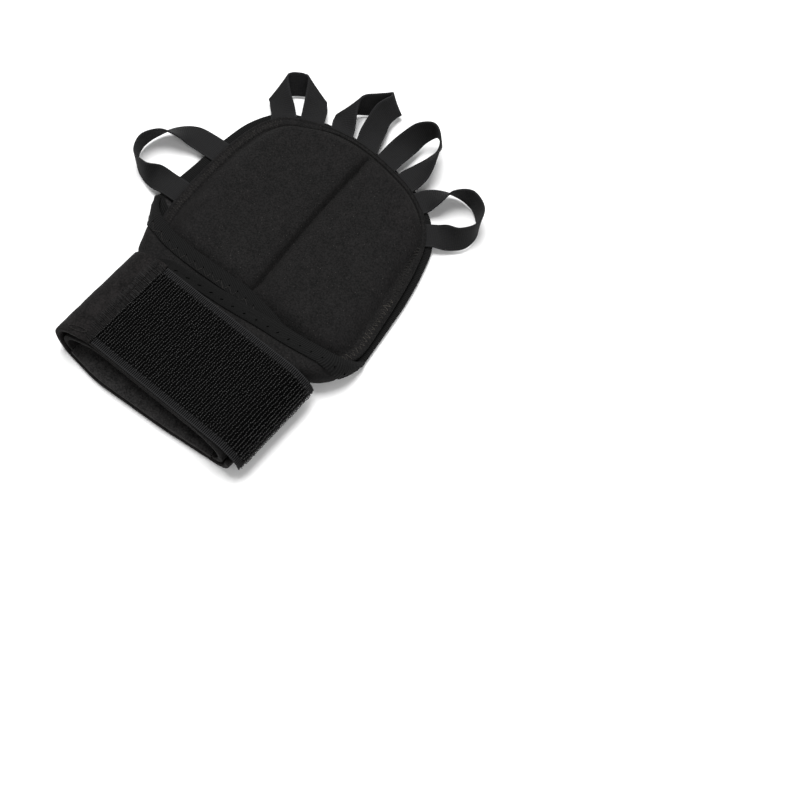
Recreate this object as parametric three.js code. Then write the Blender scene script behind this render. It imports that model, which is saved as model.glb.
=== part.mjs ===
// Weighted training glove for a left hand, lying with its open palm side up.
// A neoprene panel carries a weight pad, and five ribbon loops for the fingers are sewn under the
// pad's rim. Two wings fold up from the panel's sides, cross over the pad's lower edge and close the
// wrist, which the strap with its hook tape goes round. The hand goes in through the wrist.
// Millimetres. +X is the little-finger side, +Y the fingertips, +Z up from the resting face.
import * as THREE from 'three';
import { mergeVertices } from 'three/addons/utils/BufferGeometryUtils.js';

// Sheet goods
const GAP = 0.3; // between pieces that touch
const FOLD_GAP = 0.5; // between the panel's sides and the wings that turn up from them
const NEOPRENE = 2.7;
const NEOPRENE_STITCHED = 1.5; // squeezed flat inside a folded tape
const TAPE = 0.6;
const TAPE_WIDTH = 8.3; // of each leg of a folded tape
const RIBBON = { width: 12.5, thickness: 1.0 };
const HOOK_TAPE = { width: 51, thickness: 2.0 };
const STRAP_WIDTH = 53;

// Levels above the floor, all to the middle of the sheet
const PANEL_LEVEL = NEOPRENE / 2;
const WRIST_PANEL_LEVEL = NEOPRENE + GAP + NEOPRENE / 2;
const RIM_LEVEL = TAPE + GAP + NEOPRENE_STITCHED / 2;
const WRIST_HOLLOW = 5.4;
const THUMB_WING_LEVEL = WRIST_PANEL_LEVEL + NEOPRENE + WRIST_HOLLOW;
const LITTLE_WING_LEVEL = THUMB_WING_LEVEL + NEOPRENE + GAP;
const STRAP_UNDERSIDE = LITTLE_WING_LEVEL + NEOPRENE / 2 + GAP;

// The panel's rim from the thumb side over the fingers to the little-finger side
const RIM = [
  { x: -69.2, y: 9 },
  { x: -67.8, y: 30 },
  { x: -66.4, y: 51 },
  { x: -63.3, y: 68 },
  { x: -54.8, y: 81.5 },
  { x: -34.4, y: 91.1 },
  { x: -16.6, y: 94 },
  { x: -2.6, y: 94 },
  { x: 10.7, y: 92.4 },
  { x: 25, y: 89.4 },
  { x: 40.4, y: 82 },
  { x: 51.1, y: 70.7 },
  { x: 56.8, y: 55.8 },
  { x: 60.8, y: 39.6 },
  { x: 63.4, y: 22.9 },
  { x: 66, y: 4 },
];
const RIM_CORNERS = [4, 10]; // rows where the sides end and the fingertip arc begins

// The pad's flange, in the same order
const PAD_EDGE = [
  { x: -53, y: -11.5 },
  { x: -59, y: 2 },
  { x: -61.5, y: 30 },
  { x: -61.3, y: 52 },
  { x: -57.8, y: 70 },
  { x: -50, y: 81 },
  { x: -34, y: 88.5 },
  { x: -16.6, y: 92.2 },
  { x: -2.6, y: 92.4 },
  { x: 10.7, y: 90.8 },
  { x: 25, y: 87.6 },
  { x: 39.4, y: 80 },
  { x: 49, y: 69 },
  { x: 54.6, y: 55.2 },
  { x: 58.6, y: 39.2 },
  { x: 61.8, y: 22.5 },
  { x: 64, y: 1 },
  { x: 57.4, y: -11.5 },
];
const PAD_CORNERS = [5, 11];

const PAD = {
  flangeBottom: 4.8,
  flangeTop: 6.0,
  flangeWidth: 6,
  bottom: RIM_LEVEL + NEOPRENE_STITCHED / 2 + TAPE + 2 * GAP,
  crown: 7.4, // height of the filled cells above the flange
  shoulder: 17, // distance from the flange at which a cell is full
  channelDepth: 3.4,
  channelWidth: 2.4,
  channelShoulder: 9,
};

// A wing's sections across the glove. fold is the outermost x of its turned-up side, base and top
// the levels of the lower and upper middle of the sheet. At flare the wing comes out from under the
// strap and widens.
const FLARE_LENGTH = 3.4;
const THUMB_WING = {
  side: -1,
  flare: -26.8,
  sections: [
    { y: -80, fold: 46.2, base: WRIST_PANEL_LEVEL, top: THUMB_WING_LEVEL },
    { y: -26.8, fold: 47.4, base: WRIST_PANEL_LEVEL, top: THUMB_WING_LEVEL },
    { y: -23.4, fold: 52.4, base: WRIST_PANEL_LEVEL, top: THUMB_WING_LEVEL },
    { y: -20, fold: 54.5, base: 2.85, top: 12 },
    { y: -15, fold: 56.8, base: PANEL_LEVEL, top: 11.8 },
    { y: -10, fold: 59.2, base: PANEL_LEVEL, top: 11.8 },
    { y: -5, fold: 62.4, base: PANEL_LEVEL, top: 11 },
    { y: 0, fold: 66.5, base: PANEL_LEVEL, top: 8.2 },
    { y: 4, fold: 69.2, base: 1.5, top: 5.2 },
    { y: 7, fold: 69.8, base: RIM_LEVEL, top: 3.8 },
  ],
  // The bound edge: y at each distance along the sheet from the panel
  edge: [
    { along: 0, y: 6.5 },
    { along: 4, y: 4.6 },
    { along: 8, y: 0.6 },
    { along: 12, y: -2.6 },
    { along: 16, y: -4.8 },
    { along: 22, y: -6.8 },
    { along: 30, y: -7.8 },
    { along: 43, y: -7.9 },
    { along: 56, y: -7.4 },
    { along: 74, y: -7 },
    { along: 88, y: -8.8 },
    { along: 97.5, y: -11 },
  ],
  near: [
    { along: 0, y: -80.3 },
    { along: 8, y: -79.4 },
    { along: 17, y: -76.6 },
    { along: 25, y: -75.2 },
  ],
  tapeFrom: 6,
};

const LITTLE_WING = {
  side: 1,
  flare: -23.4,
  sections: [
    { y: -80, fold: 52, base: WRIST_PANEL_LEVEL, top: LITTLE_WING_LEVEL },
    { y: -23.4, fold: 52, base: WRIST_PANEL_LEVEL, top: LITTLE_WING_LEVEL },
    { y: -20, fold: 58.6, base: 2.85, top: LITTLE_WING_LEVEL },
    { y: -15, fold: 62.6, base: PANEL_LEVEL, top: LITTLE_WING_LEVEL },
    { y: -10.5, fold: 65.2, base: PANEL_LEVEL, top: 14.8 },
    { y: -6, fold: 66.7, base: PANEL_LEVEL, top: 11.8 },
    { y: -3, fold: 67.2, base: PANEL_LEVEL, top: 8.4 },
    { y: 0, fold: 67.2, base: 1.5, top: 5.6 },
    { y: 2, fold: 67, base: RIM_LEVEL, top: 3.8 },
  ],
  edge: [
    { along: 0, y: 1.6 },
    { along: 5, y: -0.6 },
    { along: 10, y: -4 },
    { along: 16, y: -6.8 },
    { along: 27, y: -9.3 },
    { along: 39, y: -11.4 },
    { along: 50, y: -12.6 },
    { along: 62, y: -14.8 },
    { along: 75, y: -16.2 },
    { along: 88, y: -17.9 },
    { along: 103, y: -19.8 },
  ],
  near: [
    { along: 0, y: -77.7 },
    { along: 10, y: -77.2 },
    { along: 20, y: -76.2 },
    { along: 32, y: -75.2 },
  ],
  tapeFrom: 6,
};

// The strap starts on the little-finger side, a little way up round the wing's fold. Its near edge
// wanders as it goes round the wrist.
const STRAP = {
  right: 56,
  turnUp: THREE.MathUtils.degToRad(95),
  fold: -51,
  join: -31,
  near: [
    { along: 0, y: -77.3 },
    { along: 14, y: -78.2 },
    { along: 43, y: -81.4 },
    { along: 83, y: -84 },
    { along: 101, y: -82 },
    { along: 114, y: -80.2 },
    { along: 120, y: -79.6 },
    { along: 128, y: -78 },
    { along: 137, y: -75.8 },
  ],
};

// The near edge of the panel's tongue, just inside the strap's
const TONGUE_NEAR = [
  { x: -45, y: -80.6 },
  { x: -23, y: -83.2 },
  { x: 17, y: -80.7 },
  { x: 45, y: -77.8 },
];

// The hook tape's middle, from the join over the wrist and down round the little-finger side
const HOOK_PATH = [
  { x: -31 + GAP, z: 0 },
  { x: -10, z: 0 },
  { x: 18, z: 0 },
  { x: 40, z: 0 },
  { x: 49, z: -0.4 },
  { x: 55, z: -3.2 },
  { x: 58.4, z: -7 },
  { x: 59.4, z: -10.6 },
];
const HOOK_TAPE_NEAR = -75;

// The ribbon loops, from root to root, by the ribbon's middle. heading and rise point across the
// ribbon to its inner edge, in degrees round from +X and up from the floor. reach is the length of
// that line where the ribbon folds over along a slanting crease.
const UNDER_FLANGE = 4.0;
const LOOPS = {
  thumb_loop: [
    { x: -57.5, y: 44.5, z: UNDER_FLANGE, heading: -90, rise: 0 },
    { x: -68.5, y: 44, z: 4.2, heading: -87, rise: 0 },
    { x: -77.5, y: 42.5, z: 5.2, heading: -72, rise: 5 },
    { x: -85, y: 38.8, z: 6.8, heading: -48, rise: 35 },
    { x: -92, y: 32.5, z: 7.2, heading: -26, rise: 68 },
    { x: -95, y: 22.5, z: 7.4, heading: 12, rise: 85 },
    { x: -90.5, y: 14, z: 7.4, heading: 30, rise: 89 },
    { x: -82.5, y: 11.4, z: 7.2, heading: 65, rise: 74 },
    { x: -76, y: 13.2, z: 5.8, heading: 97, rise: 29 },
    { x: -69.5, y: 14.6, z: 4.3, heading: 97, rise: 0 },
    { x: -57.5, y: 15.4, z: UNDER_FLANGE, heading: 94, rise: 0 },
  ],
  index_loop: [
    { x: -49.5, y: 76, z: UNDER_FLANGE, heading: 39, rise: 0 },
    { x: -53.4, y: 81.2, z: 4.2, heading: 39, rise: 2 },
    { x: -56.6, y: 83.9, z: 5, heading: 42, rise: 14 },
    { x: -60.4, y: 86.8, z: 6.1, heading: 50, rise: 29 },
    { x: -64.4, y: 90.6, z: 7.2, heading: 80, rise: 35, reach: 14.9 },
    { x: -62.9, y: 94.6, z: 6.6, heading: 95, rise: 46, reach: 13.4 },
    { x: -58.8, y: 98.7, z: 6.2, heading: 129, rise: 58 },
    { x: -54, y: 101.2, z: 6.6, heading: 162, rise: 48, reach: 13.4 },
    { x: -49.1, y: 101.8, z: 7.2, heading: 173, rise: 35, reach: 14.9 },
    { x: -45.4, y: 97.2, z: 6.2, heading: -158, rise: 31 },
    { x: -42.4, y: 92.6, z: 4.9, heading: -146, rise: 13 },
    { x: -40, y: 88, z: 4.1, heading: -140, rise: 0 },
    { x: -37.7, y: 84.5, z: UNDER_FLANGE, heading: -139, rise: 0 },
  ],
  middle_loop: [
    { x: -22.6, y: 88.1, z: UNDER_FLANGE, heading: -8, rise: 0 },
    { x: -25, y: 94.1, z: 4.3, heading: 12, rise: 2 },
    { x: -27.6, y: 99, z: 6.1, heading: 31, rise: 24 },
    { x: -29.2, y: 103.9, z: 8, heading: 58, rise: 31, reach: 14 },
    { x: -26.8, y: 108.6, z: 7, heading: 73, rise: 51, reach: 13.2 },
    { x: -21.1, y: 114, z: 6.5, heading: 99, rise: 61 },
    { x: -16.4, y: 117.9, z: 6.9, heading: 129, rise: 65 },
    { x: -13, y: 120.7, z: 7.4, heading: 158, rise: 63 },
    { x: -11.8, y: 119.7, z: 7.9, heading: 178, rise: 60 },
    { x: -12.4, y: 116.6, z: 8.4, heading: 180, rise: 58 },
    { x: -13.2, y: 111.3, z: 8.1, heading: 178, rise: 48 },
    { x: -12.1, y: 105, z: 6.8, heading: -175, rise: 32 },
    { x: -11, y: 99.5, z: 5.3, heading: -170, rise: 13 },
    { x: -9.4, y: 94.5, z: 4.2, heading: -172, rise: 1 },
    { x: -8.3, y: 88, z: UNDER_FLANGE, heading: 173, rise: 0 },
  ],
  ring_loop: [
    { x: 5, y: 87, z: UNDER_FLANGE, heading: 2, rise: 0 },
    { x: 4.8, y: 94, z: 4.2, heading: 0, rise: 0 },
    { x: 5.6, y: 101, z: 5.6, heading: -3, rise: -11 },
    { x: 7, y: 107.5, z: 7.2, heading: -3, rise: -37 },
    { x: 9.3, y: 114.6, z: 9.6, heading: -5, rise: -59 },
    { x: 14.6, y: 119, z: 11.6, heading: 40, rise: -82 },
    { x: 20.8, y: 115, z: 11, heading: 114, rise: -79 },
    { x: 22.3, y: 107, z: 8.8, heading: 158, rise: -53 },
    { x: 21.9, y: 98.8, z: 6, heading: 163, rise: -19 },
    { x: 20, y: 92, z: 4.4, heading: 163, rise: 0 },
    { x: 18.2, y: 86, z: UNDER_FLANGE, heading: 163, rise: 0 },
  ],
  little_loop: [
    { x: 30, y: 81.7, z: UNDER_FLANGE, heading: -36, rise: 0 },
    { x: 33.2, y: 87, z: 4.2, heading: -36, rise: 0 },
    { x: 37.6, y: 93, z: 6.2, heading: -45, rise: 29 },
    { x: 43, y: 99, z: 7.2, heading: -67, rise: 70 },
    { x: 51.2, y: 101.8, z: 7.2, heading: 87, rise: 80 },
    { x: 59.4, y: 98, z: 7.2, heading: 47, rise: 74 },
    { x: 63.8, y: 89.8, z: 7.2, heading: 100, rise: 88 },
    { x: 61.2, y: 81.8, z: 7, heading: 154, rise: 64 },
    { x: 54.8, y: 78, z: 5.6, heading: 125, rise: 32 },
    { x: 49.4, y: 75.6, z: 4.4, heading: 120, rise: 0 },
    { x: 43.8, y: 71.6, z: UNDER_FLANGE, heading: 126, rise: 0 },
  ],
};

const NEOPRENE_FACE = { color: 0x151517, roughness: 0.92, metalness: 0 };
const TAPE_FACE = { color: 0x18181a, roughness: 0.85, metalness: 0 };
const HOOK_FACE = { color: 0x0b0b0d, roughness: 0.55, metalness: 0 };
const RIBBON_FACE = { color: 0x17171a, roughness: 0.8, metalness: 0 };

const UP = new THREE.Vector3(0, 0, 1);

// A value read from a table's column, straight between its rows
function read(rows, key, at, column) {
  const last = rows.length - 1;
  if (at <= rows[0][key]) return rows[0][column];
  for (let i = 0; i < last; i += 1) {
    if (at <= rows[i + 1][key]) {
      const part = (at - rows[i][key]) / (rows[i + 1][key] - rows[i][key]);
      return THREE.MathUtils.lerp(rows[i][column], rows[i + 1][column], part);
    }
  }
  return rows[last][column];
}

// Evenly spaced values from 0 to 1
function steps(count) {
  return Array.from({ length: count + 1 }, (_, i) => i / count);
}

// A closed sheet: a divided box whose corners are moved to place(across, along, through). across
// and along are read from the two lists, and through runs from 0 on one face to 1 on the other.
function sheet(across, along, place) {
  const box = new THREE.BoxGeometry(1, 1, 1, across.length - 1, along.length - 1, 1);
  box.deleteAttribute('normal');
  box.deleteAttribute('uv');
  const slab = mergeVertices(box, 1e-5);
  const position = slab.attributes.position;
  for (let i = 0; i < position.count; i += 1) {
    const a = across[Math.round((position.getX(i) + 0.5) * (across.length - 1))];
    const b = along[Math.round((position.getY(i) + 0.5) * (along.length - 1))];
    const point = place(a, b, position.getZ(i) + 0.5);
    position.setXYZ(i, point.x, point.y, point.z);
  }
  turnOut(slab);
  slab.computeVertexNormals();
  return slab;
}

// Turns a closed geometry's faces outwards if its enclosed volume comes out negative
function turnOut(geometry) {
  const index = geometry.index;
  const corner = [0, 1, 2].map(() => new THREE.Vector3());
  let volume = 0;
  for (let i = 0; i < index.count; i += 3) {
    corner.forEach((c, k) => c.fromBufferAttribute(geometry.attributes.position, index.getX(i + k)));
    volume += corner[0].dot(corner[1].clone().cross(corner[2]));
  }
  if (volume > 0) return;
  for (let i = 0; i < index.count; i += 3) {
    const second = index.getX(i + 1);
    index.setX(i + 1, index.getX(i + 2));
    index.setX(i + 2, second);
  }
}

// A point at a height above a surface given by two numbers, measured along the surface's normal
function lifted(surface, a, b, height) {
  const reach = 0.05;
  const alongA = surface(a + reach, b).sub(surface(a - reach, b));
  const alongB = surface(a, b + reach).sub(surface(a, b - reach));
  const normal = alongA.cross(alongB).normalize();
  return surface(a, b).addScaledVector(normal, height);
}

// An outline curve through a table of x and y, at 0 to 1
function outline(rows) {
  const curve = new THREE.CatmullRomCurve3(rows.map((row) => new THREE.Vector3(row.x, row.y, 0)));
  return (t, inset = 0) => {
    const point = curve.getPoint(THREE.MathUtils.clamp(t, 0, 1));
    const tangent = curve.getTangent(THREE.MathUtils.clamp(t, 0, 1));
    return point.add(new THREE.Vector3(tangent.y, -tangent.x, 0).multiplyScalar(inset));
  };
}

// A D-shaped field inside an outline: across 0 to 1 between its sides, along 0 at its straight lower
// edge and 1 at the arc between the two corners
function dField(edge, corners, rows, inset = 0) {
  const first = corners[0] / (rows.length - 1);
  const second = corners[1] / (rows.length - 1);
  const left = (v) => edge(first * v, inset);
  const right = (v) => edge(1 - (1 - second) * v, inset);
  const top = (u) => edge(first + (second - first) * u, inset);
  return (u, v) => {
    const sides = left(v).lerp(right(v), u);
    const foot = left(0).lerp(right(0), u);
    const ends = foot.clone().lerp(top(u), v);
    const chord = left(1).lerp(right(1), u);
    return sides.add(ends).sub(foot.lerp(chord, v));
  };
}

// The same field with a border of its own: inside 0 to 1 it lies within the border, and beyond that
// on the outline. foot is the share of its length that the border takes at the lower edge.
function borderedField(edge, corners, rows, inset, border, foot) {
  const outer = dField(edge, corners, rows, inset);
  const inner = dField(edge, corners, rows, inset + border);
  const { clamp } = THREE.MathUtils;
  return (u, v) => {
    const raised = foot + (1 - foot) * clamp(v, 0, 1);
    if (v < 0) return outer(clamp(u, 0, 1), 0);
    if (v > 1 || u < 0 || u > 1) return outer(clamp(u, 0, 1), raised);
    return inner(u, raised);
  };
}

const rimEdge = outline(RIM);
const padEdge = outline(PAD_EDGE);

// A wing's middle surface: along the sheet from the panel, and y along the glove
function wingSurface(wing) {
  return (along, y) => {
    const base = read(wing.sections, 'y', y, 'base');
    const top = read(wing.sections, 'y', y, 'top');
    const thickness = y > wing.sections.at(-2).y ? NEOPRENE_STITCHED : NEOPRENE;
    const radius = (top - base) / 2;
    const start = read(wing.sections, 'y', y, 'fold') - thickness / 2 - radius;
    const turn = Math.min(along / radius, Math.PI);
    const run = Math.max(along - Math.PI * radius, 0);
    const x = start + radius * Math.sin(turn) - run;
    const z = base + radius * (1 - Math.cos(turn));
    return new THREE.Vector3(wing.side * x, y, z);
  };
}

// Where a wing leaves the panel at a given y, as a distance from the middle
function wingFoot(wing, y) {
  return Math.abs(wingSurface(wing)(0, y).x);
}

function backPanel() {
  const border = TAPE_WIDTH + GAP;
  const field = borderedField(rimEdge, RIM_CORNERS, RIM, TAPE + GAP, border, 0);
  // Rows down the tongue, by the y of their thumb-side and little-side ends. gap is the distance
  // from the wings where they widen steeply.
  const tongue = [
    { left: -80.6, right: -77.8 },
    { left: -66, right: -65 },
    { left: -52, right: -52 },
    { left: THUMB_WING.flare, right: LITTLE_WING.flare, gap: 1.2 },
    { left: THUMB_WING.flare + FLARE_LENGTH, right: LITTLE_WING.flare + FLARE_LENGTH, gap: 1.2 },
    { left: -20, right: -18 },
    { left: -15, right: -15 },
    { left: -10, right: -10.5 },
    { left: -4, right: -6 },
    { left: 2, right: 0 },
  ];
  const inField = [0, 0.2, 0.4, 0.6, 0.8, 1, 2];
  const rows = [...tongue.map((_, i) => i - tongue.length), ...inField];
  const columns = [-1, 0, 0.12, 0.3, 0.5, 0.7, 0.88, 1, 2];
  return sheet(columns, rows, (u, v, through) => {
    const lift = (through - 0.5) * NEOPRENE;
    if (v < 0) {
      const row = tongue[Math.round(v + tongue.length)];
      const gap = row.gap ?? FOLD_GAP;
      const left = new THREE.Vector3(gap - wingFoot(THUMB_WING, row.left), row.left, 0);
      const right = new THREE.Vector3(wingFoot(LITTLE_WING, row.right) - gap, row.right, 0);
      const share = border / left.distanceTo(right);
      const across = THREE.MathUtils.clamp(share + (1 - 2 * share) * u, 0, 1);
      const point = left.lerp(right, across);
      if (row === tongue[0]) point.y = read(TONGUE_NEAR, 'x', point.x, 'y');
      return point.setZ(read(THUMB_WING.sections.slice(0, 7), 'y', point.y, 'base') + lift);
    }
    const point = field(u, v);
    const squeezed = u <= 0 || u >= 1 || v >= 1;
    if (!squeezed) return point.setZ(PANEL_LEVEL + lift);
    return point.setZ(RIM_LEVEL + lift * (NEOPRENE_STITCHED / NEOPRENE));
  });
}

// The tape's path across its width: a leg, the turn round the edge and a leg. Gives the distance
// back from the edge, the distance beyond it, and the height above the middle of the sheet.
function tapeFold(part, reach) {
  const height = NEOPRENE_STITCHED / 2 + GAP + TAPE / 2;
  const leg = 0.4;
  if (part < leg) return { back: reach * (1 - part / leg), beyond: 0, height };
  if (part > 1 - leg) return { back: reach * (1 - (1 - part) / leg), beyond: 0, height: -height };
  const turn = ((part - leg) / (1 - 2 * leg)) * Math.PI;
  return { back: 0, beyond: height * Math.sin(turn), height: height * Math.cos(turn) };
}

function rimBinding() {
  const reach = TAPE_WIDTH - 1;
  const tapeColumns = [0, 0.2, 0.4, 0.44, 0.47, 0.5, 0.53, 0.56, 0.6, 0.8, 1];
  const ends = 0.004;
  return sheet(tapeColumns, steps(46), (part, share, through) => {
    const fold = tapeFold(part, reach);
    const wall = (through - 0.5) * TAPE;
    const across = new THREE.Vector2(fold.beyond, fold.height);
    if (fold.beyond) across.setLength(across.length() + wall);
    else across.y += Math.sign(across.y) * wall;
    const point = rimEdge(ends + (1 - 2 * ends) * share, TAPE + GAP + fold.back - across.x);
    return point.setZ(RIM_LEVEL + across.y);
  });
}

function weightPad() {
  const field = borderedField(padEdge, PAD_CORNERS, PAD_EDGE, 0, PAD.flangeWidth, 0.055);
  const half = [0, 0.03, 0.07, 0.12, 0.19, 0.28, 0.38, 0.45, 0.48, 0.49, 0.5];
  const across = [-1, ...half, ...half.slice(0, -1).reverse().map((c) => 1 - c), 2];
  const along = [-1, 0, 0.04, 0.1, 0.17, 0.3, 0.46, 0.62, 0.76, 0.85, 0.92, 0.965, 1, 2];
  return sheet(across, along, (u, v, through) => {
    const point = field(u, v);
    if (u <= 0 || u >= 1 || v <= 0 || v >= 1) {
      return point.setZ(through ? PAD.flangeTop : PAD.flangeBottom);
    }
    if (!through) return point.setZ(PAD.bottom);
    const width = field(1, v).x - field(0, v).x;
    const length = field(u, 1).y - field(u, 0).y;
    const rise = (distance) => 1 - (1 - Math.min(distance / PAD.shoulder, 1)) ** 2.4;
    const full = rise(Math.min(u, 1 - u) * width) * rise(Math.min(v, 1 - v) * length);
    const offSeam = Math.abs(u - 0.5) * width;
    const channel = Math.exp(-((offSeam / PAD.channelWidth) ** 2));
    const slope = Math.exp(-((offSeam / PAD.channelShoulder) ** 2));
    const sunk = full * PAD.channelDepth * (0.62 * channel + 0.38 * slope);
    return point.setZ(PAD.flangeTop + PAD.crown * full - sunk);
  });
}

// The distances along a wing at which its sheet and its tape are divided
function wingLines(wing) {
  const fold = [0, 1.5, 3, 4.5, 6, 8, 10, 12, 14, 17, 20];
  return [...fold, 25, 33, 43, 56, 70, 85, wing.edge.at(-1).along];
}

// The distances back from a wing's bound edge that lie in its folded tape
const BOUND = [0, 2, 4, TAPE_WIDTH - 1];

// How much further a distance square to a wing's bound edge reaches along y
function slanted(wing, along) {
  const reach = 2;
  const rise = read(wing.edge, 'along', along + reach, 'y') - read(wing.edge, 'along', along - reach, 'y');
  return Math.hypot(1, rise / (2 * reach));
}

function wingSheet(wing) {
  const surface = wingSurface(wing);
  const bound = [...BOUND, TAPE_WIDTH + GAP, TAPE_WIDTH + 2.5];
  // Shares of the way from the tape down to the flare, and from there to the near end
  const flared = [0.35, 0.7, 1];
  const wrist = [0, 0.3, 0.65, 1];
  const rows = bound.length + flared.length + wrist.length;
  return sheet(wingLines(wing), steps(rows - 1), (along, part, through) => {
    const row = Math.round(part * (rows - 1));
    const edge = read(wing.edge, 'along', along, 'y');
    const near = read(wing.near, 'along', along, 'y');
    const back = bound.map((distance) => distance * slanted(wing, along));
    const inner = edge - back.at(-1);
    const closing = 2;
    const wide = Math.min(wing.flare + FLARE_LENGTH, inner - closing);
    const narrow = Math.min(wing.flare, wide - closing);
    const y = [
      ...back.map((distance) => edge - distance),
      ...flared.map((share) => THREE.MathUtils.lerp(inner, wide, share)),
      ...wrist.map((share) => THREE.MathUtils.lerp(narrow, near, share)),
    ][row];
    const thickness = row < bound.length - 1 ? NEOPRENE_STITCHED : NEOPRENE;
    return lifted(surface, Math.max(along, 0.06), y, (through - 0.5) * thickness);
  });
}

function wingBinding(wing) {
  const surface = wingSurface(wing);
  const lines = wingLines(wing).filter((along) => along >= wing.tapeFrom);
  const legs = BOUND.map((back) => 0.4 * (1 - back / BOUND.at(-1)));
  const columns = [...legs.reverse(), 0.44, 0.47, 0.5, 0.53, 0.56];
  columns.push(...legs.map((share) => 1 - share).reverse());
  return sheet(columns, lines, (part, along, through) => {
    const edge = read(wing.edge, 'along', along, 'y');
    const fold = tapeFold(part, BOUND.at(-1));
    const wall = (through - 0.5) * TAPE;
    const across = new THREE.Vector2(fold.beyond, fold.height);
    if (fold.beyond) across.setLength(across.length() + wall);
    else across.y += Math.sign(across.y) * wall;
    const outward = surface(along, edge).sub(surface(along, edge - 0.5)).normalize();
    const back = fold.back * slanted(wing, along);
    return lifted(surface, along, edge - back, across.y).addScaledVector(outward, across.x);
  });
}

function wristStrap() {
  const low = NEOPRENE / 2;
  const high = STRAP_UNDERSIDE + NEOPRENE / 2;
  const radius = (high - low) / 2;
  const bend = STRAP.fold + NEOPRENE / 2 + radius;
  const start = STRAP.right - NEOPRENE / 2 - radius;
  const rising = STRAP.turnUp * radius;
  const under = rising + start - bend;
  const arc = Math.PI * radius;
  const total = under + arc + (STRAP.join - bend);
  const surface = (along, y) => {
    if (along > under + arc) return new THREE.Vector3(bend + along - under - arc, y, high);
    if (along >= rising && along <= under) return new THREE.Vector3(start + rising - along, y, low);
    const right = along < rising;
    const turn = (right ? rising - along : along - under) / radius;
    const x = right ? start + radius * Math.sin(turn) : bend - radius * Math.sin(turn);
    return new THREE.Vector3(x, y, low + radius * (1 - Math.cos(turn)));
  };
  const lines = steps(6).map((s) => s * rising);
  lines.push(...steps(5).slice(1).map((s) => rising + s * (under - rising)));
  lines.push(...steps(12).slice(1).map((s) => under + s * arc), total);
  return sheet(lines, [0, 0.5, 1], (along, part, through) => {
    const near = read(STRAP.near, 'along', along, 'y');
    return lifted(surface, along, near + part * STRAP_WIDTH, (through - 0.5) * NEOPRENE);
  });
}

function hookTape() {
  const level = STRAP_UNDERSIDE + HOOK_TAPE.thickness / 2;
  const points = HOOK_PATH.map((row) => new THREE.Vector3(row.x, 0, level + row.z));
  const path = new THREE.CatmullRomCurve3(points);
  const surface = (t, y) => path.getPoint(THREE.MathUtils.clamp(t, 0, 1)).setY(y);
  return sheet(steps(21), [0, 0.5, 1], (t, part, through) => {
    const tangent = path.getTangent(t);
    const normal = new THREE.Vector3(-tangent.z, 0, tangent.x);
    const y = HOOK_TAPE_NEAR + part * HOOK_TAPE.width;
    return surface(t, y).addScaledVector(normal, (through - 0.5) * HOOK_TAPE.thickness);
  });
}

function ribbonLoop(rows) {
  const { degToRad } = THREE.MathUtils;
  const middle = new THREE.CatmullRomCurve3(rows.map((row) => new THREE.Vector3(row.x, row.y, row.z)));
  const across = new THREE.CatmullRomCurve3(rows.map((row) => {
    const polar = Math.PI / 2 - degToRad(row.rise);
    const line = new THREE.Vector3().setFromSphericalCoords(row.reach ?? RIBBON.width, polar, 0);
    return new THREE.Vector3(line.z, 0, line.y).applyAxisAngle(UP, degToRad(row.heading));
  }));
  return sheet([-0.5, 0, 0.5], steps(52), (share, along, through) => {
    const line = across.getPoint(along);
    const face = middle.getTangent(along).cross(line).normalize();
    const point = middle.getPoint(along).addScaledVector(line, share);
    return point.addScaledVector(face, (through - 0.5) * RIBBON.thickness);
  });
}

function piece(name, geometry, face) {
  const mesh = new THREE.Mesh(geometry, new THREE.MeshStandardMaterial(face));
  mesh.name = name;
  return mesh;
}

const glove = new THREE.Group();
glove.add(
  piece('back_panel', backPanel(), NEOPRENE_FACE),
  piece('rim_binding', rimBinding(), TAPE_FACE),
  piece('weight_pad', weightPad(), NEOPRENE_FACE),
  piece('thumb_side_wing', wingSheet(THUMB_WING), NEOPRENE_FACE),
  piece('little_side_wing', wingSheet(LITTLE_WING), NEOPRENE_FACE),
  piece('thumb_wing_binding', wingBinding(THUMB_WING), TAPE_FACE),
  piece('little_wing_binding', wingBinding(LITTLE_WING), TAPE_FACE),
  piece('wrist_strap', wristStrap(), NEOPRENE_FACE),
  piece('hook_tape', hookTape(), HOOK_FACE),
);
Object.entries(LOOPS).forEach(([name, loop]) => glove.add(piece(name, ribbonLoop(loop), RIBBON_FACE)));

// The origin is the middle of the resting face
const bounds = new THREE.Box3().setFromObject(glove);
const centre = bounds.getCenter(new THREE.Vector3());
glove.position.set(-centre.x, -centre.y, -bounds.min.z);

export default glove;
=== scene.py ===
"""Weighted training glove for a left hand, lying with its open palm side up, dressed for the render."""
import math
import random
from collections import namedtuple

import bpy
from mathutils import Matrix, Vector, noise


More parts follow.
